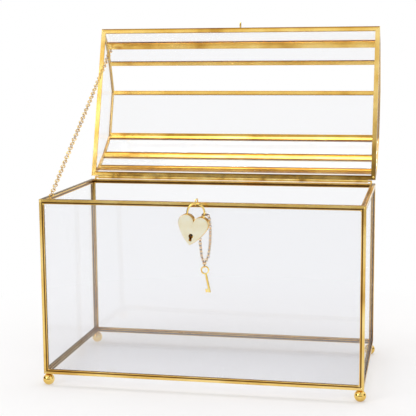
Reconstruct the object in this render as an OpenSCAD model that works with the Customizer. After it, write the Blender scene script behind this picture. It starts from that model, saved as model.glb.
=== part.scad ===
// Card box of glass panes in brass channel, with a barrel lid, a stay chain and a heart padlock.
// The lid is drawn open, leaning back on its stay chain. Front is -Y and the feet stand on z = 0.

/* [Case] */
// Width of the case over its corner posts
case_w = 310; // [240:5:400]
// Depth of the case, front to back
case_d = 168; // [140:2:230]
// Height of the case, from the underside of its bottom rails to its rim
case_h = 172; // [130:2:220]

/* [Brass channel] */
// Width of a channel's flanges over the face of a pane
came_w = 4.4; // [3.8:0.1:6]
// Thickness of a flange
came_skin = 0.6; // [0.4:0.1:1]
// How far a pane's edge sits inside its channel
grip = 1.4; // [1:0.1:1.8]
// Width of the flat landing where the lid meets the case
landing_w = 4.8; // [4:0.1:7]
// Thickness of the landing
landing_t = 1.2; // [0.8:0.1:1.4]

/* [Glass] */
// Thickness of every pane
glass_t = 1.8; // [1.4:0.1:2.4]
// Clearance between the face of a pane and its flange
glass_clear = 0.05; // [0.02:0.01:0.1]
// Clearance between the edge of a pane and the bottom of its channel
edge_clear = 0.1; // [0.05:0.05:0.3]

/* [Lid] */
// Width of the lowest facet, front and back
low_facet_w = 24.5; // [20:0.5:34]
// Slope of the lowest facet, from the level
low_facet_slope = 62; // [52:1:70]
// Width of the second facet, front and back
mid_facet_w = 25; // [20:0.5:34]
// Slope of the second facet
mid_facet_slope = 42; // [38:1:50]
// Width of the third facet; the one at the front is the open card slot
high_facet_w = 32.5; // [24:0.5:36]
// Slope of the third facet
high_facet_slope = 35; // [20:1:36]
// Width of the arch that edges an end pane
arch_w = 3; // [2.6:0.1:4]
// Thickness of the arch's flanges
arch_skin = 0.3; // [0.3:0.05:0.6]
// How far an end pane's edge sits inside its arch
arch_grip = 1.3; // [0.8:0.1:1.5]
// Gap between the rims of lid and case when the lid is shut
lid_gap = 0.3; // [0.2:0.05:0.6]
// How far the lid leans open, from shut
lid_open = 107.7; // [95:0.1:110]

/* [Hinge] */
// Outer diameter of the hinge tube
tube_d = 3.4; // [3:0.1:5]
// Diameter of the hinge pin
pin_d = 1.9; // [1.4:0.1:2.2]
// Running clearance between tube and pin, on the radius
pin_clear = 0.05; // [0.02:0.01:0.1]
// Distance from the end of the tube to the side of the case
tube_inset = 8; // [7:0.5:20]
// Distance from the bend of the pin to the side of the case
pin_inset = 4.5; // [3:0.5:5]
// Length of the pin's bent ends
pin_leg = 6; // [5:0.5:12]

/* [Feet] */
// Diameter of a ball foot
foot_d = 11.3; // [8:0.1:16]
// Depth of the flat that the ball stands on
foot_flat = 0.35; // [0.2:0.05:0.6]
// Height of the neck between ball and rail
foot_neck = 0.35; // [0.2:0.05:1]
// Diameter of the neck
foot_neck_d = 3.4; // [2:0.1:5]
// Distance from the centre of a ball to the sides of the case
foot_inset = 3.6; // [2.5:0.1:8]

/* [Hasp] */
// Width of the strip that the case's staple is bent from
staple_strip = 1; // [0.8:0.1:1.4]
// Height of the staple's opening
staple_hole_h = 4.2; // [3.4:0.1:6]
// Distance from the front of the case to the far end of the staple's opening
staple_reach = 9.4; // [9:0.1:12]
// Radius in the corners of the staple's opening
staple_corner = 0.8; // [0.4:0.1:0.9]
// How far the staple's opening starts below the rim of the case
staple_drop = 0.9; // [0.5:0.1:1.2]
// Thickness of the lid's eyelet
eyelet_t = 0.9; // [0.7:0.1:1.2]
// Outer diameter of the lid's eyelet
eyelet_d = 7; // [6.4:0.1:7.2]
// Diameter of the eyelet's hole
eyelet_hole_d = 4.2; // [3.4:0.1:4.6]
// Height of the eyelet's centre above the rim of the lid
eyelet_rise = 2.4; // [2.2:0.1:3]
// Distance between staple and eyelet, centre to centre
eyelet_offset = 2.8; // [2:0.1:3.2]

/* [Stay chain] */
// Outer diameter of a round link
link_d = 5.2; // [4.6:0.1:5.6]
// Diameter of the link's wire
link_wire = 0.7; // [0.55:0.05:0.85]
// Distance from the landing's inner edge to the chain
chain_gap = 2.7; // [2.2:0.1:3.2]
// Gap between the front landing and the chain's lower eye
case_eye_gap = 0.3; // [0.2:0.1:15]
// Distance from the lid's first fold to the chain's upper eye
lid_eye_gap = 9.5; // [9:0.1:14]
// Diameter of the wire of both eyes
eye_wire = 1; // [0.8:0.1:1]

/* [Padlock] */
// Radius of the bow, to the middle of its wire
bow_r = 8; // [7:0.5:10]
// Diameter of the bow's wire
bow_d = 1.9; // [1.6:0.1:2.1]
// Lean of the hanging lock
lock_tilt = 10.7; // [0:0.1:15]
// Radius of a lobe of the heart
lobe_r = 7.3; // [7:0.1:8.5]
// Distance from the middle of the heart to the centre of a lobe
lobe_x = 7; // [6.6:0.1:7.2]
// Height of the heart from its lobes' centres to its tip
heart_h = 20.3; // [18:0.1:24]
// Radius of the heart's sides
heart_side_r = 40; // [34:1:60]
// Distance from the centre of the bow to the lobes' centres
heart_drop = 10.3; // [10:0.1:11]
// Depth of the lock, front to back
lock_t = 9; // [8:0.5:10]
// Wall of the lock's case
lock_wall = 1; // [0.8:0.1:1.2]
// Thickness of the lock's front plate
plate_t = 0.8; // [0.6:0.1:1.2]
// Stroke of the latch
latch_stroke = 1.2; // [0.8:0.1:1.4]

/* [Key] */
// Outside diameter of a link of the key's chain
key_link_d = 3; // [2.7:0.1:3.2]
// Diameter of the wire of those links
key_link_wire = 0.5; // [0.4:0.05:0.55]
// Outer diameter of the key's bow
key_bow_d = 8; // [7.6:0.2:10]
// Width of the key bow's ring
key_bow_w = 1.2; // [0.8:0.1:1.4]
// Thickness of the key's bow and bit
key_t = 1.2; // [0.9:0.1:1.3]
// Diameter of the key's shaft
key_shaft_d = 2.2; // [2:0.1:3]
// Length of the key, from the centre of its bow to its tip
key_len = 21.5; // [18:0.5:28]

/* [Hidden] */
$fn = 48;

// Channel: pane thickness with its clearances and both flanges
slot_t = glass_t + 2 * glass_clear;
came_t = slot_t + 2 * came_skin;
came_seat = came_w - grip;
pane_in = came_seat + edge_clear;
pane_off = came_skin + glass_clear;
arch_t = slot_t + 2 * arch_skin;
arch_seat = arch_w - arch_grip;
// Depth of the mitres at the corners of a rectangular frame of rails
mitre = 3 * came_w;

// Levels of the case
foot_h = foot_d - foot_flat + foot_neck;
rim_z = foot_h + case_h;
lid_z = rim_z + lid_gap;
front_y = -case_d / 2;

// The hinge tube rests against the sloping back of the lid, level with the lid's rim
hinge_y = case_d / 2 + tube_d / 2 * tan(low_facet_slope / 2);
hinge_z = lid_z + tube_d / 2;

// Outline of the lid: facet widths and slopes from the front rim over to the back rim
facet_w = [low_facet_w, mid_facet_w, high_facet_w];
facet_slope = [low_facet_slope, mid_facet_slope, high_facet_slope];
function along(w, s) = w * [cos(s), sin(s)];
front_half = [
    [front_y, 0],
    [front_y, 0] + along(facet_w[0], facet_slope[0]),
    [front_y, 0] + along(facet_w[0], facet_slope[0]) + along(facet_w[1], facet_slope[1]),
    [front_y, 0] + along(facet_w[0], facet_slope[0]) + along(facet_w[1], facet_slope[1])
        + along(facet_w[2], facet_slope[2])
];
lid_outline = concat(front_half, [for (i = [3:-1:0]) [-front_half[i][0], front_half[i][1]]]);
slopes = concat(facet_slope, [0], [for (i = [2:-1:0]) -facet_slope[i]]);
card_slot = 2;
function inward(s) = [sin(s), -cos(s)];
function facet_length(i) = norm(lid_outline[i + 1] - lid_outline[i]);
// The outline moved inward by d, fold by fold
function inset_outline(d) = [
    for (i = [0:7])
        let (a = inward(slopes[max(i - 1, 0)]), b = inward(slopes[min(i, 6)]))
        lid_outline[i] + d * (a + b) / (1 + a * b)
];

// Hasp: the bow's wire rests on the lower strip of the staple, at its far end
bow_y = front_y - staple_reach + bow_d / 2 + 0.1;
bow_z = rim_z - staple_drop + bow_d / 2 + 0.05;
// Padlock, drawn about the centre of its bow: x across, z up, y through its depth
lock_back = lock_t / 2;
plate_y = -lock_t / 2;
case_y = plate_y + plate_t;
wall_y = lock_back - lock_wall;
// The heart's sides are arcs that meet its lobes smoothly and cross at its tip
side_a = heart_side_r - lobe_r;
side_p = (pow(side_a, 2) - pow(lobe_x, 2) - pow(heart_side_r, 2) + pow(heart_h, 2)) / (-2 * heart_h);
side_q = lobe_x / heart_h;
side_c = (-(side_p * side_q + lobe_x) + sqrt(pow(side_p * side_q + lobe_x, 2)
    - (1 + side_q * side_q) * (side_p * side_p + pow(lobe_x, 2) - pow(side_a, 2)))) / (1 + side_q * side_q);
side_k = side_p + side_q * side_c;
// Bow: its left end turns on a rivet, and its right end has a notch for the latch
rivet_z = -9;
rivet_d = 1.2;
rivet_clear = 0.05;
bow_eye_d = 3.6;
bow_end_z = -7.6;
notch_z = [-6.6, -5.4];
notch_depth = 0.8;
slot_side = 0.15;
// How far the left leg leans over its side of the case when the lock is opened
leg_lean = 5.6;
// Latch: a plate on two pegs, drawn back from the bow's notch
latch_t = 2;
latch_gap = 0.1;
latch_x = [1.2, 5.6];
latch_z = [-19, -8.1];
neck_x = [3.6, 5.2];
nose_tip = bow_r - bow_d / 2 - 0.55;
toe_x = -1.8;
toe_h = 1.6;
peg_d = 1.2;
peg_clear = 0.05;
peg_x = 4;
peg_zs = [-10, -16];
pad_d = 2.6;
spring_z = -13;
spring_r = 1.1;
spring_wire = 0.4;
spring_turns = 5;
stop_x = -3.4;
stop_w = 1.5;
stop_h = 3.4;
// Keyhole, and the post that the key turns on
key_post_z = -22;
key_post_d = 1.4;
keyhole_d = 4.4;
keyhole_slot = 2.6;
keyhole_drop = 4.8;

// Stay chain: taut between its two eyes, and in line with the lid's first fold
eye_r = chain_gap - eye_wire / 2;
chain_x = -case_w / 2 + landing_w + chain_gap;
case_eye = [front_y + landing_w + case_eye_gap + 2 * eye_r + eye_wire / 2, rim_z - landing_t / 2];
fold = [
    hinge_y + (lid_outline[1][0] - hinge_y) * cos(lid_open) + (lid_outline[1][1] + lid_z - hinge_z) * sin(lid_open),
    hinge_z - (lid_outline[1][0] - hinge_y) * sin(lid_open) + (lid_outline[1][1] + lid_z - hinge_z) * cos(lid_open)
];
// How far back the open box reaches, and the middle of its depth, where the origin lies
open_y = [
    for (p = lid_outline) hinge_y + (p[0] - hinge_y) * cos(lid_open) + (p[1] + lid_z - hinge_z) * sin(lid_open)
];
rest_mid = (max(open_y) + bow_y + plate_y) / 2;
chain_dir = (fold - case_eye) / norm(fold - case_eye);
chain_rise = atan2(chain_dir[1], chain_dir[0]);
lid_eye = fold - lid_eye_gap * chain_dir;
link_r = (link_d - link_wire) / 2;
chain_end = link_r - link_wire / 2 - eye_wire / 2 - 0.05;
links_run = norm(lid_eye - case_eye) - 2 * chain_end;
// An even number of gaps, so that the first and the last link stand the same way
link_gaps = 2 * ceil(links_run / (2 * (link_d - 2 * link_wire - 0.1)));
link_pitch = links_run / link_gaps;

// Key chain: two strands from a ring on the bow's right leg to a ring in the key,
// as x, y, z from the bow's crown
key_link_r = (key_link_d - key_link_wire) / 2;
key_link_pitch = key_link_d - 2 * key_link_wire - 0.15;
bow_ring_r = 2.2;
bow_ring = [
    bow_r * cos(lock_tilt) - 0.9 * sin(lock_tilt), 0.85, -bow_r - bow_r * sin(lock_tilt) - 0.9 * cos(lock_tilt)
];
key_ring_r = 1.8;
key_ring = [6.4, 6.1, -59];
strand_right = [
    bow_ring + [1.5, 2, 0.3], [10.2, 4.8, -10.6], [11.2, 6.3, -13], [12.2, 6.3, -24], [11.8, 6.4, -38],
    [10, 6.7, -50], key_ring + [0.2, 0.85, 2.3]
];
strand_left = [
    bow_ring + [-1.2, 2.2, 0.3], [5.7, 5.4, -10.6], [4.3, 6.5, -13], [2.4, 6.3, -24], [2.4, 6.2, -38],
    [4, 5.5, -50], key_ring + [-0.2, -0.85, 2.3]
];
key_lean = -12;
key_hang = 0.45;
key_bore_d = 1.5;
key_bore = 7;
key_bit = [2.6, 3.2];

brass = "#c9a13c";
pale_brass = "#e2c878";
steel = "#b9bcc0";
clear = [0.85, 0.86, 0.9, 0.3];

// ---- Shared shapes ----

// Moves what is drawn about the middle of the case to the middle of the open box's depth
module on_origin() {
    translate([0, -rest_mid, 0]) children();
}

// A channel for one pane, open at its far end: along +x, its outer face on y = 0
module channel(w = came_w) {
    difference() {
        translate([0, -came_t]) square([w, came_t]);
        channel_slot();
    }
}

module channel_slot() {
    translate([came_seat, -came_t + came_skin]) square([came_w, slot_t]);
}

// Two channels at right angles, meeting at the origin
module corner_channel() {
    difference() {
        union() {
            square([came_w, came_t]);
            square([came_t, came_w]);
        }
        translate([came_seat, came_skin]) square([came_w, slot_t]);
        translate([came_skin, came_seat]) square([slot_t, came_w]);
    }
}

// Rim of the case: a channel that opens downwards, under a flat landing
module rim_channel() {
    difference() {
        union() {
            translate([0, -landing_t]) square([landing_w, landing_t]);
            translate([0, -came_w]) square([came_t, came_w]);
        }
        translate([came_skin, -came_w - 1]) square([slot_t, grip + 1]);
    }
}

// A rail along the front of a rectangle, mitred at both ends; its section is x inwards, y up
module mitred_rail(run, half) {
    intersection() {
        translate([-run / 2, -half, 0]) rotate([90, 0, 90]) linear_extrude(run) children();
        translate([0, -half, -mitre]) linear_extrude(2 * mitre) polygon([
            [-run / 2, 0], [run / 2, 0], [run / 2 - mitre, mitre], [-run / 2 + mitre, mitre]
        ]);
    }
}

// The same rail on any side of the case: 0 front, 90 right, 180 back, 270 left
module rail_on(side) {
    across = side % 180 == 0;
    rotate([0, 0, side]) mitred_rail(across ? case_w : case_d, (across ? case_d : case_w) / 2) children();
}

// A section in y and z, drawn along x
module along_x(x0, x1) {
    translate([x0, 0, 0]) rotate([90, 0, 90]) linear_extrude(x1 - x0) children();
}

// A face in x and z, drawn through y
module through_y(y0, y1) {
    translate([0, y1, 0]) rotate([90, 0, 0]) linear_extrude(y1 - y0) children();
}

// Everything on the lid is drawn with the lid shut, and turned open here
module on_open_lid() {
    translate([0, hinge_y, hinge_z]) rotate([-lid_open, 0, 0]) translate([0, -hinge_y, lid_z - hinge_z])
        children();
}

module torus(r, wire) {
    rotate_extrude() translate([r, 0]) circle(d = wire, $fn = 40);
}

// ---- Case ----

module wall_pane(side) {
    across = side % 180 == 0;
    run = across ? case_w : case_d;
    half = (across ? case_d : case_w) / 2;
    color(clear) rotate([0, 0, side]) translate([-run / 2 + pane_in, -half + pane_off, foot_h + pane_in])
        cube([run - 2 * pane_in, glass_t, case_h - 2 * pane_in]);
}

module floor_glass() {
    color(clear) translate([-case_w / 2 + pane_in, front_y + pane_in, foot_h + pane_off])
        cube([case_w - 2 * pane_in, case_d - 2 * pane_in, glass_t]);
}

module post(side_x, side_y) {
    color(brass) translate([side_x * case_w / 2, side_y * case_d / 2, foot_h + came_w])
        mirror([side_x > 0 ? 1 : 0, 0, 0]) mirror([0, side_y > 0 ? 1 : 0, 0])
        linear_extrude(case_h - 2 * came_w) corner_channel();
}

module top_rail(side) {
    color(brass) translate([0, 0, rim_z]) rail_on(side) rim_channel();
}

module bottom_rail(side) {
    color(brass) translate([0, 0, foot_h]) rail_on(side) corner_channel();
}

module ball_foot() {
    intersection() {
        translate([0, 0, foot_d / 2 - foot_flat]) sphere(d = foot_d, $fn = 96);
        translate([-foot_d, -foot_d, 0]) cube(2 * foot_d);
    }
    translate([0, 0, foot_d / 2]) cylinder(d = foot_neck_d, h = foot_h - foot_d / 2);
}

module ball_feet() {
    color(brass) for (sx = [-1, 1], sy = [-1, 1])
        translate([sx * (case_w / 2 - foot_inset), sy * (case_d / 2 - foot_inset), 0]) ball_foot();
}

// A rectangle with round corners: from x0 to x1, h high, standing on y = 0
module round_box(x0, x1, h, r) {
    translate([x0 + r, 0]) square([x1 - x0 - 2 * r, h]);
    translate([x0, r]) square([x1 - x0, h - 2 * r]);
    for (x = [x0 + r, x1 - r], y = [r, h - r]) translate([x, y]) circle(r = r);
}

// The staple stands on a pad below the rim, so the lid shuts behind it
module hasp_staple() {
    start = 0.35;
    color(brass) translate([staple_strip / 2, front_y, rim_z - staple_drop]) rotate([90, 0, -90])
        linear_extrude(staple_strip) difference() {
            union() {
                translate([0, -staple_strip])
                    round_box(start, staple_reach + staple_strip, staple_hole_h + 2 * staple_strip,
                        staple_corner + staple_strip);
                translate([0, -staple_strip]) square([start + staple_strip, staple_strip + staple_drop - 0.1]);
            }
            round_box(start + staple_strip, staple_reach, staple_hole_h, staple_corner);
        }
}

// A ring that lies flat, soldered to the inner edge of the left landing
module case_chain_eye() {
    color(brass) translate([chain_x, case_eye[0] - eye_r, case_eye[1]]) torus(eye_r, eye_wire);
}

module hinge_pin() {
    bend_x = case_w / 2 - pin_inset;
    color(brass) {
        translate([-bend_x, hinge_y, hinge_z]) rotate([0, 90, 0]) cylinder(d = pin_d, h = 2 * bend_x);
        for (side = [-1, 1]) translate([side * bend_x, hinge_y, hinge_z]) {
            sphere(d = pin_d, $fn = 96);
            translate([0, 0, -pin_leg]) cylinder(d = pin_d, h = pin_leg);
            translate([0, 0, pin_d / 2 - pin_leg]) rotate([90, 0, 0])
                cylinder(d = pin_d * 1.3, h = hinge_y - case_d / 2);
        }
    }
}

// ---- Lid ----

// Rim along the front or the back: a flat landing and a channel up the lowest facet
module sloping_rim() {
    difference() {
        union() {
            square([landing_w, landing_t]);
            rotate(low_facet_slope) channel();
        }
        rotate(low_facet_slope) channel_slot();
        rotate(low_facet_slope) translate([-came_w, 0]) square([3 * came_w, came_w]);
        translate([-2 * came_w, -2 * came_w]) square([6 * came_w, 2 * came_w]);
    }
}

module upright_rim() {
    difference() {
        union() {
            square([landing_w, landing_t]);
            square([arch_t, came_w]);
        }
        translate([arch_skin, came_seat]) square([slot_t, came_w]);
    }
}

module lid_rail_along(side) {
    color(brass) on_open_lid() rail_on(side) sloping_rim();
}

module lid_rail_end(side) {
    color(brass) on_open_lid() intersection() {
        rail_on(side) upright_rim();
        along_x(-case_w, case_w) polygon(lid_outline);
    }
}

module above(z) {
    difference() {
        children();
        translate([-case_d, z - case_d]) square([2 * case_d, case_d]);
    }
}

// Arch round an end pane: side is 1 at the right end, -1 at the left
module lid_arch(side) {
    color(brass) on_open_lid() mirror([side < 0 ? 1 : 0, 0, 0]) difference() {
        along_x(case_w / 2 - arch_t, case_w / 2) above(came_w) difference() {
            polygon(lid_outline);
            polygon(inset_outline(arch_w));
        }
        along_x(case_w / 2 - arch_t + arch_skin, case_w / 2 - arch_skin) polygon(inset_outline(arch_seat));
    }
}

module lid_end_pane(side) {
    x0 = case_w / 2 - arch_skin - glass_clear - glass_t;
    color(clear) on_open_lid() mirror([side < 0 ? 1 : 0, 0, 0]) along_x(x0, x0 + glass_t) above(pane_in) polygon(inset_outline(arch_seat + edge_clear));
}

module at_fold(i, facet) {
    translate(lid_outline[i]) rotate(slopes[facet]) children();
}

// A rib at fold i: a channel back along the facet before it and one forward along the next,
// but none beside the open card slot
module rib_section(i) {
    difference() {
        union() {
            if (i - 1 != card_slot) at_fold(i, i - 1) mirror([1, 0]) channel();
            if (i != card_slot) at_fold(i, i) channel();
        }
        if (i - 1 != card_slot) at_fold(i, i - 1) mirror([1, 0]) channel_slot();
        if (i != card_slot) at_fold(i, i) channel_slot();
    }
}

module lid_rib(i) {
    color(brass) on_open_lid() along_x(arch_t - case_w / 2, case_w / 2 - arch_t) rib_section(i);
}

module lid_pane(i) {
    half = case_w / 2 - arch_t - edge_clear;
    color(clear) on_open_lid() along_x(-half, half) at_fold(i, i)
        translate([pane_in, -pane_off - glass_t]) square([facet_length(i) - 2 * pane_in, glass_t]);
}

module lid_eyelet() {
    centre = [front_y - eyelet_d / 2, eyelet_rise];
    color(brass) on_open_lid() along_x(eyelet_offset - eyelet_t / 2, eyelet_offset + eyelet_t / 2)
        difference() {
            union() {
                translate(centre) circle(d = eyelet_d);
                translate([centre[0], 0.3]) square([eyelet_d, 2 * eyelet_rise - 0.6]);
            }
            translate(centre) circle(d = eyelet_hole_d);
            polygon(lid_outline);
            translate([front_y + came_w, -came_w]) square([case_d, 3 * came_w]);
        }
}

module hinge_tube() {
    run = case_w - 2 * tube_inset;
    color(brass) translate([-run / 2, hinge_y, hinge_z]) rotate([0, 90, 0]) difference() {
        cylinder(d = tube_d, h = run);
        translate([0, 0, -1]) cylinder(d = pin_d + 2 * pin_clear, h = run + 2);
    }
}

// A ring on a short stem from the lid's first rib, in line with the chain
module lid_chain_eye() {
    stem = lid_eye_gap - 2 * eye_r - came_t - 0.1;
    color(brass) translate([chain_x, lid_eye[0], lid_eye[1]]) rotate([chain_rise, 0, 0]) {
        translate([0, eye_r, 0]) torus(eye_r, eye_wire);
        translate([0, 2 * eye_r, 0]) rotate([-90, 0, 0]) cylinder(d = eye_wire, h = stem);
    }
}

// ---- Stay chain ----

module stay_chain() {
    color(brass) for (i = [0:link_gaps]) {
        reach = chain_end + i * link_pitch;
        translate([chain_x, case_eye[0] + reach * chain_dir[0], case_eye[1] + reach * chain_dir[1]])
            rotate(i % 2 == 0 ? [0, 90, 0] : [chain_rise, 0, 0]) torus(link_r, link_wire);
    }
}

// ---- Padlock ----

// Drawn about the centre of the bow
module on_lock() {
    translate([0, bow_y, bow_z - bow_r]) rotate([0, lock_tilt, 0]) children();
}

// The heart's outline, drawn in by e
module heart(e) {
    translate([0, -heart_drop]) {
        for (side = [-1, 1]) translate([side * lobe_x, 0]) circle(r = lobe_r - e);
        translate([-4, -3.5]) square([8, 2.5]);
        intersection() {
            translate([-side_c, side_k]) circle(r = heart_side_r - e, $fn = 180);
            translate([side_c, side_k]) circle(r = heart_side_r - e, $fn = 180);
            translate([-2 * heart_h, -2 * heart_h - side_k * (lobe_r - e) / side_a])
                square([4 * heart_h, 2 * heart_h]);
        }
    }
}

module lock_bow() {
    color(brass) on_lock() difference() {
        union() {
            rotate([90, 0, 0]) rotate_extrude(angle = 180) translate([bow_r, 0]) circle(d = bow_d);
            translate([-bow_r, 0, rivet_z]) cylinder(d = bow_d, h = -rivet_z);
            translate([bow_r, 0, bow_end_z]) cylinder(d = bow_d, h = -bow_end_z);
            through_y(-bow_d / 2, bow_d / 2) translate([-bow_r, rivet_z]) circle(d = bow_eye_d);
        }
        through_y(-bow_d, bow_d) translate([-bow_r, rivet_z]) circle(d = rivet_d + 2 * rivet_clear);
        translate([bow_r - bow_d / 2 + notch_depth - bow_d, -bow_d, notch_z[0]])
            cube([bow_d, 2 * bow_d, notch_z[1] - notch_z[0]]);
    }
}

// A shell with a closed back, slots for the bow, and the pegs and stop of the latch
module lock_case() {
    half_slot = bow_d / 2 + slot_side;
    color(brass) on_lock() {
        difference() {
            through_y(case_y, lock_back) heart(0);
            through_y(case_y - 1, wall_y) heart(lock_wall);
            translate([-bow_r - bow_d / 2 - leg_lean, -half_slot, rivet_z])
                cube([leg_lean + bow_d + slot_side, 2 * half_slot, bow_r]);
            translate([bow_r - bow_d / 2 - 1.25, -half_slot, bow_end_z + 2])
                cube([1.25 + bow_d + slot_side, 2 * half_slot, bow_r]);
        }
        for (z = peg_zs) translate([peg_x, 0, z]) rotate([90, 0, 0]) {
            translate([0, 0, -wall_y]) cylinder(d = pad_d, h = wall_y - latch_t / 2 - latch_gap);
            translate([0, 0, -wall_y]) cylinder(d = peg_d, h = wall_y + latch_t / 2 + 0.5);
        }
        translate([stop_x - stop_w, -stop_h / 2, spring_z - stop_h / 2])
            cube([stop_w, wall_y + stop_h / 2, stop_h]);
    }
}

module lock_front_plate() {
    color(pale_brass) on_lock() through_y(plate_y, case_y) difference() {
        heart(0.35);
        translate([0, key_post_z]) circle(d = keyhole_d);
        translate([-keyhole_slot / 2, key_post_z - keyhole_drop]) square([keyhole_slot, keyhole_drop]);
    }
}

module lock_rivet() {
    color(brass) on_lock() through_y(case_y, wall_y) translate([-bow_r, rivet_z]) circle(d = rivet_d);
}

module key_post() {
    color(steel) on_lock() through_y(case_y + 0.5, wall_y) translate([0, key_post_z]) circle(d = key_post_d);
}

module lock_latch() {
    slot_d = peg_d + 2 * peg_clear;
    color(steel) on_lock() through_y(-latch_t / 2, latch_t / 2) difference() {
        union() {
            translate([latch_x[0], latch_z[0]]) square([latch_x[1] - latch_x[0], latch_z[1] - latch_z[0]]);
            translate([toe_x, latch_z[0]]) square([latch_x[0] - toe_x, toe_h]);
            translate([neck_x[0], latch_z[1]]) square([neck_x[1] - neck_x[0], notch_z[1] - 0.1 - latch_z[1]]);
            translate([neck_x[0], notch_z[0] + 0.1]) square([nose_tip - neck_x[0], notch_z[1] - notch_z[0] - 0.2]);
        }
        for (z = peg_zs) {
            translate([peg_x, z]) circle(d = slot_d);
            translate([peg_x - latch_stroke, z]) circle(d = slot_d);
            translate([peg_x - latch_stroke, z - slot_d / 2]) square([latch_stroke, slot_d]);
        }
    }
}

// A wire coil along +x, from 0 to run
module coil(run) {
    around = 12;
    steps = spring_turns * around;
    sides = 6;
    pitch_run = run - spring_wire;
    points = [
        for (i = [0:steps], j = [0:sides - 1])
            let (a = 360 * i / around, b = 360 * j / sides, r = spring_r + spring_wire / 2 * cos(b))
            [spring_wire / 2 + pitch_run * i / steps + spring_wire / 2 * sin(b), r * cos(a), r * sin(a)]
    ];
    walls = [
        for (i = [0:steps - 1], j = [0:sides - 1])
            [i * sides + j, i * sides + (j + 1) % sides, (i + 1) * sides + (j + 1) % sides, (i + 1) * sides + j]
    ];
    last = [for (j = [0:sides - 1]) steps * sides + j];
    first = [for (j = [sides - 1:-1:0]) j];
    polyhedron(points, concat(walls, [first], [last]));
}

module latch_spring() {
    color(steel) on_lock() translate([stop_x + 0.02, 0, spring_z]) coil(latch_x[0] - stop_x - 0.04);
}

// ---- Key and its chain ----

function path_length(p, n) = n == 0 ? 0 : path_length(p, n - 1) + norm(p[n] - p[n - 1]);

// The stretch of path p in which the distance s falls
function stretch(p, s, n = 1) = n == len(p) - 1 || s <= path_length(p, n) ? n : stretch(p, s, n + 1);

// Round links along path p, each turned a quarter from the one before
module strand(p) {
    run = path_length(p, len(p) - 1);
    gaps = 2 * ceil(run / (2 * key_link_pitch));
    for (i = [0:gaps]) {
        s = i * run / gaps;
        n = stretch(p, s);
        dir = (p[n] - p[n - 1]) / norm(p[n] - p[n - 1]);
        translate(p[n - 1] + (s - path_length(p, n - 1)) * dir) rotate([0, 0, atan2(dir[1], dir[0])])
            rotate([0, -asin(dir[2]), 0]) rotate([i % 2 == 0 ? 90 : 0, 0, 0]) torus(key_link_r, key_link_wire);
    }
}

module key_chain() {
    color(brass) translate([0, bow_y, bow_z]) {
        translate(bow_ring) torus(bow_ring_r, 0.6);
        translate(key_ring) rotate([0, 90, 0]) torus(key_ring_r, 0.5);
        strand(strand_right);
        strand(strand_left);
    }
}

module key() {
    tip = -key_len;
    color(pale_brass) translate([0, bow_y, bow_z]) translate(key_ring) translate([0, 0, -key_ring_r])
        rotate([0, key_lean, 0]) translate([0, 0, key_hang + key_bow_w - key_bow_d / 2]) {
            through_y(-key_t / 2, key_t / 2) difference() {
                circle(d = key_bow_d);
                circle(d = key_bow_d - 2 * key_bow_w);
            }
            difference() {
                translate([0, 0, tip]) cylinder(d = key_shaft_d, h = key_len - key_bow_d / 2 + key_bow_w / 2);
                translate([0, 0, tip - 1]) cylinder(d = key_bore_d, h = key_bore + 1);
            }
            translate([-key_shaft_d / 2 - key_bit[0], -key_t / 2, tip + 0.6]) cube([key_bit[0] + 0.3, key_t, key_bit[1]]);
        }
}

on_origin() wall_pane(0);  // front_glass
on_origin() wall_pane(180);  // back_glass
on_origin() wall_pane(270);  // left_glass
on_origin() wall_pane(90);  // right_glass
on_origin() floor_glass();
on_origin() post(-1, -1);  // post_front_left
on_origin() post(1, -1);  // post_front_right
on_origin() post(-1, 1);  // post_back_left
on_origin() post(1, 1);  // post_back_right
on_origin() top_rail(0);  // top_rail_front
on_origin() top_rail(180);  // top_rail_back
on_origin() top_rail(270);  // top_rail_left
on_origin() top_rail(90);  // top_rail_right
on_origin() bottom_rail(0);  // bottom_rail_front
on_origin() bottom_rail(180);  // bottom_rail_back
on_origin() bottom_rail(270);  // bottom_rail_left
on_origin() bottom_rail(90);  // bottom_rail_right
on_origin() ball_feet();
on_origin() hasp_staple();
on_origin() case_chain_eye();
on_origin() hinge_pin();
on_origin() lid_rail_along(0);  // lid_rail_front
on_origin() lid_rail_along(180);  // lid_rail_back
on_origin() lid_rail_end(270);  // lid_rail_left
on_origin() lid_rail_end(90);  // lid_rail_right
on_origin() lid_arch(-1);  // lid_arch_left
on_origin() lid_arch(1);  // lid_arch_right
on_origin() lid_rib(1);  // lid_rib_1
on_origin() lid_rib(2);  // lid_rib_2
on_origin() lid_rib(3);  // lid_rib_3
on_origin() lid_rib(4);  // lid_rib_4
on_origin() lid_rib(5);  // lid_rib_5
on_origin() lid_rib(6);  // lid_rib_6
on_origin() lid_pane(0);  // lid_pane_front_low
on_origin() lid_pane(1);  // lid_pane_front_mid
on_origin() lid_pane(3);  // lid_pane_top
on_origin() lid_pane(4);  // lid_pane_back_high
on_origin() lid_pane(5);  // lid_pane_back_mid
on_origin() lid_pane(6);  // lid_pane_back_low
on_origin() lid_end_pane(-1);  // lid_end_pane_left
on_origin() lid_end_pane(1);  // lid_end_pane_right
on_origin() lid_eyelet();
on_origin() hinge_tube();
on_origin() lid_chain_eye();
on_origin() stay_chain();
on_origin() lock_bow();
on_origin() lock_case();
on_origin() lock_front_plate();
on_origin() lock_rivet();
on_origin() key_post();
on_origin() lock_latch();
on_origin() latch_spring();
on_origin() key_chain();
on_origin() key();
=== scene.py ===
import math
import random

import bmesh
import bpy
from mathutils import Matrix, Vector


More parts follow.
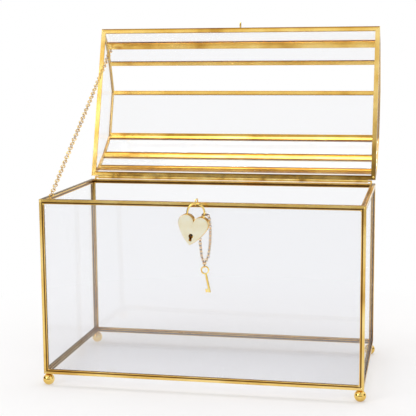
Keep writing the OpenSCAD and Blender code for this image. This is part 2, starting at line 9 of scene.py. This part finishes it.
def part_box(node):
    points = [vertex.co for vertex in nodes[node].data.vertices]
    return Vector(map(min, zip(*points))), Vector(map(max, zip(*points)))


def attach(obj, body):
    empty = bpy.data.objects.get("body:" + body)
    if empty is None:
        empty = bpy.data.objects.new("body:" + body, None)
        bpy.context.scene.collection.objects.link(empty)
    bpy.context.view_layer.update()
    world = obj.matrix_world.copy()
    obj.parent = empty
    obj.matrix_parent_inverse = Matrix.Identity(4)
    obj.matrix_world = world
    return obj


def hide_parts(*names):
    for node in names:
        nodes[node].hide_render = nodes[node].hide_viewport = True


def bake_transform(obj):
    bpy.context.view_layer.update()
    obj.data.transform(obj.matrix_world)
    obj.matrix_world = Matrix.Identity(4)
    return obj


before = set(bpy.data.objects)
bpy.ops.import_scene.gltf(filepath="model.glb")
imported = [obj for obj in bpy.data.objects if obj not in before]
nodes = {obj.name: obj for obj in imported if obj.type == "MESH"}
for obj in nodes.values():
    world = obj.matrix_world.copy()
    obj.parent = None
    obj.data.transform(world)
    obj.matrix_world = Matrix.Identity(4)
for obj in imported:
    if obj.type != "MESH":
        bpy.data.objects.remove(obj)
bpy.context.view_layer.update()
MM = 0.001

# ---- Brass channel of the case ----
# Folded brass channel, polished and lacquered, soldered at the corners.
# Its flange keeps its plain tone along the outer fold, and a strip of painted shade runs just inside the fold where
# the channel's inner face would be in shade.


def new_material(name):
    material = bpy.data.materials.new(name)
    material.use_nodes = True
    tree = material.node_tree
    return material, tree, tree.nodes["Principled BSDF"]


def add(tree, kind, **settings):
    node = tree.nodes.new(kind)
    for key, value in settings.items():
        setattr(node, key, value)
    return node


def math_node(tree, operation, a, b=None, c=None, clamp=False):
    node = add(tree, "ShaderNodeMath", operation=operation, use_clamp=clamp)
    for socket, value in zip(node.inputs, (a, b, c)):
        if value is None:
            continue
        if isinstance(value, (int, float)):
            socket.default_value = value
        else:
            tree.links.new(value, socket)
    return node.outputs[0]


def color_ramp(tree, factor, stops):
    ramp = add(tree, "ShaderNodeValToRGB")
    elements = ramp.color_ramp.elements
    while len(elements) < len(stops):
        elements.new(0.5)
    for element, (place, colour) in zip(elements, stops):
        element.position = place
        element.color = (*colour, 1.0)
    tree.links.new(factor, ramp.inputs[0])
    return ramp.outputs["Color"]


def noise(tree, scale, detail=3.0, stretch=(1, 1, 1)):
    coords = add(tree, "ShaderNodeTexCoord")
    mapping = add(tree, "ShaderNodeMapping")
    mapping.inputs["Scale"].default_value = stretch
    tree.links.new(coords.outputs["Object"], mapping.inputs["Vector"])
    texture = add(tree, "ShaderNodeTexNoise")
    texture.inputs["Scale"].default_value = scale
    texture.inputs["Detail"].default_value = detail
    tree.links.new(mapping.outputs["Vector"], texture.inputs["Vector"])
    return texture.outputs["Fac"]


def multiply(tree, first, second, amount=1.0):
    mix = add(tree, "ShaderNodeMix", data_type="RGBA", blend_type="MULTIPLY")
    mix.inputs["Factor"].default_value = amount
    tree.links.new(first, mix.inputs["A"])
    tree.links.new(second, mix.inputs["B"])
    return mix.outputs["Result"]


def polish(tree, shader, rough_low, rough_high, bump, edge=0.00035):
    # Hand-polished metal: drifting roughness, fine scratches, and softened edges
    smear = noise(tree, 140.0, 4.0)
    span = add(tree, "ShaderNodeMapRange")
    span.inputs["To Min"].default_value = rough_low
    span.inputs["To Max"].default_value = rough_high
    tree.links.new(smear, span.inputs["Value"])
    tree.links.new(span.outputs["Result"], shader.inputs["Roughness"])
    scratches = noise(tree, 900.0, 2.0, (1, 1, 0.25))
    dents = add(tree, "ShaderNodeBump")
    dents.inputs["Strength"].default_value = bump
    dents.inputs["Distance"].default_value = 0.00012
    tree.links.new(scratches, dents.inputs["Height"])
    if edge:
        rounding = add(tree, "ShaderNodeBevel", samples=4)
        rounding.inputs["Radius"].default_value = edge
        tree.links.new(rounding.outputs["Normal"], dents.inputs["Normal"])
    tree.links.new(dents.outputs["Normal"], shader.inputs["Normal"])


def brass(name, tones, rough=(0.10, 0.26), bump=0.12, grain=28.0, edge=0.00035):
    # Tones run from the tarnished places to the bright ones
    material, tree, shader = new_material(name)
    shader.inputs["Metallic"].default_value = 1.0
    tarnish = noise(tree, grain, 5.0)
    tone = color_ramp(tree, tarnish, [(0.30, tones[0]), (0.46, tones[1]), (0.66, tones[2])])
    tree.links.new(tone, shader.inputs["Base Color"])
    polish(tree, shader, *rough, bump, edge)
    return material, tree, shader, tone


GOLD_TONES = ((0.66, 0.40, 0.095), (0.86, 0.58, 0.17), (0.96, 0.72, 0.28))


def paint(material, *names):
    for name in names:
        slots = nodes[name].data.materials
        if len(slots) == 0:
            slots.append(material)
        for index in range(len(slots)):
            slots[index] = material


def across_z(tree, node):
    # 0 at the bottom of the node and 1 at its top
    low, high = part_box(node)
    coords = add(tree, "ShaderNodeTexCoord")
    split = add(tree, "ShaderNodeSeparateXYZ")
    tree.links.new(coords.outputs["Object"], split.inputs[0])
    above = math_node(tree, "SUBTRACT", split.outputs["Z"], low[2])
    return math_node(tree, "DIVIDE", above, high[2] - low[2], clamp=True)


def banded(name, node, tones, bands, **finish):
    # Brass whose tone changes from the node's lower edge to its upper one
    material, tree, shader, tone = brass(name, tones, **finish)
    strip = color_ramp(tree, across_z(tree, node), bands)
    tree.links.new(multiply(tree, tone, strip), shader.inputs["Base Color"])
    paint(material, node)


case_low, case_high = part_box("bottom_rail_front")
half_w = case_high[0]
mid_y = (case_low[1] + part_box("bottom_rail_back")[1][1]) / 2
half_d = mid_y - case_low[1]
base_z = case_low[2]
rim_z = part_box("top_rail_front")[1][2]

case_brass, tree, shader, tone = brass("case_channel_brass", GOLD_TONES)
coords = add(tree, "ShaderNodeTexCoord")
split = add(tree, "ShaderNodeSeparateXYZ")
tree.links.new(coords.outputs["Object"], split.inputs[0])
from_side = math_node(tree, "SUBTRACT", half_w, math_node(tree, "ABSOLUTE", split.outputs["X"]))
from_front = math_node(
    tree, "SUBTRACT", half_d,
    math_node(tree, "ABSOLUTE", math_node(tree, "SUBTRACT", split.outputs["Y"], mid_y)))
mid_z = (base_z + rim_z) / 2
from_end = math_node(
    tree, "SUBTRACT", rim_z - mid_z,
    math_node(tree, "ABSOLUTE", math_node(tree, "SUBTRACT", split.outputs["Z"], mid_z)))
# The middle one of the three distances is how far a point lies across its flange
lesser = math_node(tree, "MINIMUM", from_side, from_front)
greater = math_node(tree, "MAXIMUM", from_side, from_front)
across = math_node(tree, "MAXIMUM", lesser, math_node(tree, "MINIMUM", greater, from_end))
flange = math_node(tree, "DIVIDE", across, 4.4 * MM, clamp=True)
# Painted shade: a dark strip across the flange just inside its outer fold, standing in for the shaded inner face of
# the channel, with a slightly different tone beyond it.
painted_flange_shade = color_ramp(tree, flange, [
    (0.0, (1.0, 1.0, 1.0)), (0.50, (1.0, 1.0, 1.0)), (0.60, (0.16, 0.10, 0.05)),
    (0.80, (0.20, 0.12, 0.06)), (0.90, (0.95, 0.88, 0.75))])
tree.links.new(multiply(tree, tone, painted_flange_shade), shader.inputs["Base Color"])
paint(case_brass, *[n for n in nodes if n.startswith(("post_", "top_rail_", "bottom_rail_"))])

# ---- Glass ----
# Clear float glass, 1.8 mm thick, with a faint lavender-grey cast.
# Each pane slides into the channels round it and isn't glued.

glass, tree, shader = new_material("clear_float_glass")
shader.inputs["Base Color"].default_value = (0.72, 0.74, 0.83, 1.0)
shader.inputs["Metallic"].default_value = 0.0
shader.inputs["IOR"].default_value = 1.50
shader.inputs["Transmission Weight"].default_value = 0.55
shader.inputs["Alpha"].default_value = 0.12
haze = noise(tree, 14.0, 3.0)
smudge = add(tree, "ShaderNodeMapRange")
smudge.inputs["To Min"].default_value = 0.02
smudge.inputs["To Max"].default_value = 0.09
tree.links.new(haze, smudge.inputs["Value"])
tree.links.new(smudge.outputs["Result"], shader.inputs["Roughness"])
paint(glass, *[n for n in nodes if n.endswith("_glass") or n.startswith(("lid_pane_", "lid_end_pane_"))])

# ---- Ball feet ----
# Four solid brass balls, turned and polished, each soldered under a corner by a short neck.

foot_brass = brass("ball_foot_brass", ((0.62, 0.36, 0.07), (0.88, 0.60, 0.16), (0.98, 0.76, 0.30)),
                   rough=(0.05, 0.13), bump=0.04, grain=60.0, edge=0)[0]
paint(foot_brass, "ball_feet")

# ---- Lid frame ----
# The same channel, bent or mitred to the barrel shape and soldered at every fold.
# Six ribs run from end to end between two arches.

LID_TONES = ((0.62, 0.36, 0.07), (0.86, 0.57, 0.15), (0.96, 0.71, 0.25))
lid_brass = brass("lid_side_brass", ((0.50, 0.28, 0.05), (0.78, 0.50, 0.13), (0.95, 0.72, 0.28)))[0]
paint(lid_brass, "lid_rail_left", "lid_rail_right")
# Painted light across each piece: painted shade along its upper edge and a painted highlight through the middle of
# its flange. Ribs 3 and 4 get a softer version whose painted shade is darkest at the bottom.
painted_rib_light = [(0.0, (0.94, 0.90, 0.78)), (0.30, (1.0, 1.0, 1.0)), (0.62, (0.96, 0.90, 0.74)),
       (0.80, (0.70, 0.55, 0.32)), (0.92, (0.28, 0.18, 0.07))]
soft_painted_rib_light = [(0.0, (0.62, 0.50, 0.30)), (0.25, (0.86, 0.74, 0.50)), (0.60, (1.0, 0.98, 0.92)),
            (0.90, (0.80, 0.66, 0.40))]
for number in range(1, 7):
    banded("lid_rib_%d_brass" % number, "lid_rib_%d" % number, LID_TONES, soft_painted_rib_light if number in (3, 4) else painted_rib_light)
for rail in ("lid_rail_front", "lid_rail_back"):
    banded(rail + "_brass", rail, LID_TONES, painted_rib_light)
arch_brass = brass("lid_arch_brass", ((0.36, 0.21, 0.05), (0.60, 0.38, 0.10), (0.82, 0.58, 0.20)),
                   rough=(0.14, 0.30))[0]
paint(arch_brass, "lid_arch_left", "lid_arch_right")

# ---- Hinge ----
# A brass tube soldered along the lid's back rim turns on a wire pin.
# The pin's ends are bent down and soldered to the back of the case.

hinge_brass = brass("hinge_tube_brass", ((0.42, 0.24, 0.05), (0.86, 0.58, 0.15), (1.0, 0.82, 0.36)),
                    rough=(0.06, 0.16), bump=0.05, grain=70.0)[0]
paint(hinge_brass, "hinge_tube", "hinge_pin")

# ---- Staple, eyelet and chain eyes ----
# Bent from thin brass strip and wire, and soldered on.

strip_brass = brass("strip_brass", ((0.70, 0.44, 0.10), (0.90, 0.63, 0.18), (1.0, 0.80, 0.34)),
                    rough=(0.08, 0.20), bump=0.06, edge=0.00015)[0]
paint(strip_brass, "hasp_staple", "lid_eyelet", "case_chain_eye", "lid_chain_eye")

# ---- Solder ----
# Small bright beads of solder where channels meet, run in by hand and plated with the rest.

solder_brass = brass("solder_brass", ((0.78, 0.50, 0.13), (0.93, 0.67, 0.20), (1.0, 0.84, 0.42)),
                     rough=(0.10, 0.24), bump=0.10, grain=220.0, edge=0)[0]


def finish_piece(name, shape, material, body, smooth=True):
    mesh = bpy.data.meshes.new(name)
    shape.to_mesh(mesh)
    shape.free()
    piece = bpy.data.objects.new(name, mesh)
    bpy.context.scene.collection.objects.link(piece)
    mesh.materials.append(material)
    if smooth:
        for face in mesh.polygons:
            face.use_smooth = True
    if body:
        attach(piece, body)
    return piece


def solder_beads(name, spots, body, rng):
    # Each spot is a centre and the half-sizes of its bead
    shape = bmesh.new()
    for centre, size in spots:
        bead = bmesh.ops.create_icosphere(shape, subdivisions=3, radius=1.0)
        phase = [rng.uniform(0, 6.28) for _ in range(3)]
        for vertex in bead["verts"]:
            ripple = 1 + 0.09 * sum(math.sin(3.1 * axis + turn) for axis, turn in zip(vertex.co, phase))
            vertex.co = Vector(centre) + Vector(v * s * ripple for v, s in zip(vertex.co, size))
    return finish_piece(name, shape, solder_brass, body)


rng = random.Random(11)
case_spots = []
for sx in (-1, 1):
    for sy in (-1, 1):
        corner_x, corner_y = sx * half_w, mid_y + sy * half_d
        for z, lift in ((rim_z, -1.9), (base_z, 1.7)):
            case_spots.append((
                (corner_x - sx * 1.5 * MM, corner_y - sy * 1.5 * MM, z + lift * MM),
                (1.75 * MM, 1.75 * MM, 1.6 * MM)))
            case_spots.append((
                (corner_x - sx * 4.2 * MM, corner_y - sy * 1.0 * MM, z + 2.2 * lift * MM),
                (1.3 * MM, 1.1 * MM, 1.3 * MM)))
solder_beads("case_solder", case_spots, "case", rng)


def lid_fold(rib, end):
    # Where a rib meets the arch at the left (-1) or right (+1) end
    low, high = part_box(rib)
    return (end * (half_w - 2.9 * MM), (low[1] + high[1]) / 2, (low[2] + high[2]) / 2)


lid_spots = []
for number in range(1, 7):
    for end in (-1, 1):
        x, y, z = lid_fold("lid_rib_%d" % number, end)
        lid_spots.append(((x, y, z), (1.5 * MM, 1.9 * MM, 1.9 * MM)))
for rail in ("lid_rail_front", "lid_rail_back"):
    low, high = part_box(rail)
    for end in (-1, 1):
        lid_spots.append((
            (end * (half_w - 2.2 * MM), (low[1] + high[1]) / 2, (low[2] + high[2]) / 2),
            (1.9 * MM, 1.7 * MM, 1.7 * MM)))
solder_beads("lid_solder", lid_spots, "lid", rng)

# ---- Stay chain ----
# Round wire links of plated brass, each closed and hung through the next.
# It stops the lid when it leans back, and its ends hook through the two chain eyes.

chain_brass = brass("chain_brass", ((0.24, 0.12, 0.02), (0.66, 0.40, 0.08), (0.96, 0.72, 0.25)),
                    rough=(0.12, 0.24), bump=0.03, grain=260.0, edge=0)[0]


def add_link(shape, centre, along, roll, radius, wire, around=14, sides=6):
    # A wire ring whose plane holds the direction of the chain
    ring = bmesh.ops.create_circle(
        shape, segments=sides, radius=wire / 2,
        matrix=Matrix.Translation((radius, 0, 0)) @ Matrix.Rotation(math.pi / 2, 4, "X"))
    start = ring["verts"]
    edges = list({edge for vertex in start for edge in vertex.link_edges})
    bmesh.ops.spin(
        shape, geom=start + edges, cent=(0, 0, 0), axis=(0, 0, 1), angle=2 * math.pi,
        steps=around, use_merge=True)
    made = {vertex for vertex in shape.verts if not vertex.tag}
    side = along.cross(Vector((0, 1, 0))).normalized()
    turn = Matrix((along, side, along.cross(side))).transposed().to_4x4()
    place = Matrix.Translation(centre) @ turn @ Matrix.Rotation(roll, 4, "X")
    for vertex in made:
        vertex.co = place @ vertex.co
        vertex.tag = True


def close_shell(shape):
    bmesh.ops.remove_doubles(shape, verts=shape.verts, dist=1e-6)
    bmesh.ops.recalc_face_normals(shape, faces=shape.faces)


low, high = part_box("stay_chain")
LINK_R, LINK_WIRE = 2.25 * MM, 0.72 * MM
reach = LINK_R + LINK_WIRE / 2
chain_x = (low[0] + high[0]) / 2
first = Vector((chain_x, low[1] + reach, low[2] + reach))
last = Vector((chain_x, high[1] - reach, high[2] - reach))
run = last - first
gaps = 2 * math.ceil(run.length / (2 * (2 * LINK_R - LINK_WIRE - 0.1 * MM)))
chain_shape = bmesh.new()
for index in range(gaps + 1):
    roll = (math.pi / 2 if index % 2 == 0 else 0) + rng.uniform(-0.12, 0.12)
    add_link(chain_shape, first + run * index / gaps, run.normalized(), roll, LINK_R, LINK_WIRE)
close_shell(chain_shape)
stay_chain = finish_piece("stay_chain_links", chain_shape, chain_brass, None)
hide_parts("stay_chain")
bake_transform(stay_chain)

# ---- Padlock ----
# A pressed brass heart: a shell with a pale satin front plate let into it, and a wire bow.
# The latch and spring inside are steel, and show only through the keyhole.

bow_brass = brass("bow_brass", ((0.74, 0.46, 0.10), (0.92, 0.65, 0.18), (1.0, 0.82, 0.36)),
                  rough=(0.05, 0.14), bump=0.03, grain=90.0, edge=0)[0]
paint(bow_brass, "lock_bow", "lock_rivet")
shell_brass = brass("padlock_shell_brass", ((0.66, 0.36, 0.05), (0.88, 0.54, 0.10), (0.98, 0.70, 0.22)),
                    rough=(0.10, 0.22), bump=0.06, grain=90.0)[0]
paint(shell_brass, "lock_case")

plate_brass, tree, shader = new_material("padlock_plate_satin")
shader.inputs["Metallic"].default_value = 0.55
shader.inputs["Coat Weight"].default_value = 0.45
shader.inputs["Coat Roughness"].default_value = 0.12
plate_tone = color_ramp(tree, noise(tree, 120.0, 4.0), [
    (0.32, (0.96, 0.88, 0.62)), (0.52, (1.0, 0.94, 0.70)), (0.70, (1.0, 0.97, 0.80))])
tree.links.new(plate_tone, shader.inputs["Base Color"])
polish(tree, shader, 0.26, 0.38, 0.05)
paint(plate_brass, "lock_front_plate")

dark_steel, tree, shader = new_material("oiled_steel")
shader.inputs["Metallic"].default_value = 1.0
steel_tone = color_ramp(tree, noise(tree, 200.0, 3.0), [(0.35, (0.10, 0.08, 0.06)), (0.65, (0.22, 0.19, 0.16))])
tree.links.new(steel_tone, shader.inputs["Base Color"])
polish(tree, shader, 0.30, 0.50, 0.05, 0)
paint(dark_steel, "lock_latch", "latch_spring", "key_post")

# ---- Key and its chain ----
# A small pipe key, cast with a ring bow, on two strands of fine links.

key_brass = brass("key_brass", ((0.76, 0.48, 0.10), (0.95, 0.70, 0.22), (1.0, 0.86, 0.42)),
                  rough=(0.08, 0.20), bump=0.05, grain=160.0, edge=0.0002)[0]
paint(key_brass, "key")
key_chain_brass, tree, shader, tone = brass(
    "key_chain_brass", ((0.62, 0.34, 0.05), (0.92, 0.60, 0.13), (1.0, 0.78, 0.28)),
    rough=(0.08, 0.20), bump=0.03, grain=380.0, edge=0)
coords = add(tree, "ShaderNodeTexCoord")
split = add(tree, "ShaderNodeSeparateXYZ")
tree.links.new(coords.outputs["Object"], split.inputs[0])
# Painted shade: the tone dips to dark once every 3.7 mm up the strands, standing in for links turned edge-on into
# shade.
link_wave = math_node(tree, "SINE", math_node(tree, "MULTIPLY", split.outputs["Z"], 2 * math.pi / (3.7 * MM)))
painted_link_shade = color_ramp(tree, math_node(tree, "MULTIPLY_ADD", link_wave, 0.5, 0.5), [
    (0.25, (0.26, 0.15, 0.05)), (0.60, (1.0, 1.0, 1.0))])
tree.links.new(multiply(tree, tone, painted_link_shade), shader.inputs["Base Color"])
paint(key_chain_brass, "key_chain")

# ---- Studio ----
# A white sweep under soft boxes, with dark cards that only the metal sees.


def stage_plane(name, width, height, place, turn, material):
    shape = bmesh.new()
    bmesh.ops.create_grid(shape, x_segments=1, y_segments=1, size=0.5)
    bmesh.ops.scale(shape, vec=(width, height, 1), verts=shape.verts)
    bmesh.ops.transform(
        shape, matrix=Matrix.Translation(place) @ Matrix.Rotation(turn[1], 4, "Z") @ Matrix.Rotation(turn[0], 4, "X"),
        verts=shape.verts)
    mesh = bpy.data.meshes.new(name)
    shape.to_mesh(mesh)
    shape.free()
    mesh.materials.append(material)
    plane = bpy.data.objects.new(name, mesh)
    bpy.context.scene.collection.objects.link(plane)
    return plane


sweep = bpy.data.materials.new("white_sweep")
sweep.use_nodes = True
tree = sweep.node_tree
tree.nodes.clear()
ray = add(tree, "ShaderNodeLightPath")
seen = math_node(
    tree, "MAXIMUM", ray.outputs["Is Camera Ray"],
    math_node(tree, "MAXIMUM", ray.outputs["Is Glossy Ray"], ray.outputs["Is Transmission Ray"]))
where = add(tree, "ShaderNodeTexCoord")
distance = add(tree, "ShaderNodeVectorMath", operation="LENGTH")
tree.links.new(where.outputs["Object"], distance.inputs[0])
fade = add(tree, "ShaderNodeMapRange")
fade.inputs["From Min"].default_value = 0.16
fade.inputs["From Max"].default_value = 0.42
fade.inputs["To Min"].default_value = 0.30
fade.inputs["To Max"].default_value = 1.0
tree.links.new(distance.outputs["Value"], fade.inputs["Value"])
share = math_node(tree, "MULTIPLY", seen, fade.outputs["Result"])
matte = add(tree, "ShaderNodeBsdfDiffuse")
matte.inputs["Color"].default_value = (0.97, 0.955, 0.955, 1)
glow = add(tree, "ShaderNodeEmission")
blend_white = add(tree, "ShaderNodeMixShader")
output = add(tree, "ShaderNodeOutputMaterial")
tree.links.new(share, blend_white.inputs["Fac"])
tree.links.new(matte.outputs[0], blend_white.inputs[1])
tree.links.new(glow.outputs[0], blend_white.inputs[2])
tree.links.new(blend_white.outputs[0], output.inputs["Surface"])
stage_plane("floor", 14.0, 14.0, (0, 0, 0), (0, 0), sweep)

card = bpy.data.materials.new("dark_card")
card.use_nodes = True
card.node_tree.nodes["Principled BSDF"].inputs["Base Color"].default_value = (0.05, 0.035, 0.02, 1)
card.node_tree.nodes["Principled BSDF"].inputs["Roughness"].default_value = 1.0
cards = [
    ("card_front_low", 2.6, 0.50, (0.0, -1.5, 0.02), (math.pi / 2, 0)),
    ("card_front_high", 2.6, 0.35, (0.0, -1.5, 0.95), (math.pi / 2, 0)),
    ("card_left", 1.4, 0.9, (-1.5, -0.4, 0.35), (math.pi / 2, math.pi / 2)),
    ("card_right", 1.0, 0.5, (1.5, 0.2, 0.30), (math.pi / 2, math.pi / 2)),
    ("card_back", 2.4, 0.35, (0.0, 1.6, 0.55), (math.pi / 2, 0)),
    ("card_top", 0.5, 2.2, (0.5, 0.0, 1.5), (0, 0)),
]
for name, width, height, place, turn in cards:
    plane = stage_plane(name, width, height, place, turn, card)
    plane.visible_camera = False
    plane.visible_diffuse = False
    plane.visible_shadow = False
    plane.visible_transmission = False

world = bpy.data.worlds.new("white_studio")
world.use_nodes = True
bpy.context.scene.world = world
tree = world.node_tree
backdrop = tree.nodes["Background"]
backdrop.inputs["Color"].default_value = (1, 1, 1, 1)
ray = add(tree, "ShaderNodeLightPath")
seen = math_node(
    tree, "MAXIMUM", ray.outputs["Is Camera Ray"],
    math_node(tree, "MAXIMUM", ray.outputs["Is Glossy Ray"], ray.outputs["Is Transmission Ray"]))
strength = add(tree, "ShaderNodeMapRange")
strength.inputs["To Min"].default_value = 0.62
strength.inputs["To Max"].default_value = 1.0
tree.links.new(seen, strength.inputs["Value"])
tree.links.new(strength.outputs["Result"], backdrop.inputs["Strength"])


def soft_box(name, place, size, watts):
    lamp = bpy.data.lights.new(name, "AREA")
    lamp.shape = "RECTANGLE"
    lamp.size, lamp.size_y = size
    lamp.energy = watts
    light = bpy.data.objects.new(name, lamp)
    light.location = place
    aim = Vector((0, 0, 0.15)) - Vector(place)
    light.rotation_euler = aim.to_track_quat("-Z", "Y").to_euler()
    bpy.context.scene.collection.objects.link(light)


soft_box("box_overhead", (0.1, 0.3, 1.5), (1.2, 0.8), 9)
soft_box("box_front_left", (-1.0, -1.2, 0.9), (0.6, 0.6), 5)

# ---- Camera ----
# A long lens a little above the rim, to the right of the front.

lens = bpy.data.cameras.new("camera")
lens.sensor_width = 36.0
lens.lens = 94.7
camera = bpy.data.objects.new("camera", lens)
bpy.context.scene.collection.objects.link(camera)
yaw, pitch, tilt = (math.radians(a) for a in (11.428, -8.324, -0.428))
forward = Vector((-math.sin(yaw) * math.cos(pitch), math.cos(yaw) * math.cos(pitch), math.sin(pitch)))
level = Vector((math.cos(yaw), math.sin(yaw), 0))
upright = level.cross(forward)
right = level * math.cos(tilt) + upright * math.sin(tilt)
up = upright * math.cos(tilt) - level * math.sin(tilt)
camera.matrix_world = Matrix((
    (right.x, up.x, -forward.x, 0.20828),
    (right.y, up.y, -forward.y, mid_y - 1.06627),
    (right.z, up.z, -forward.z, 0.32510),
    (0, 0, 0, 1)))
bpy.context.scene.camera = camera
bpy.context.scene.view_settings.view_transform = "Standard"
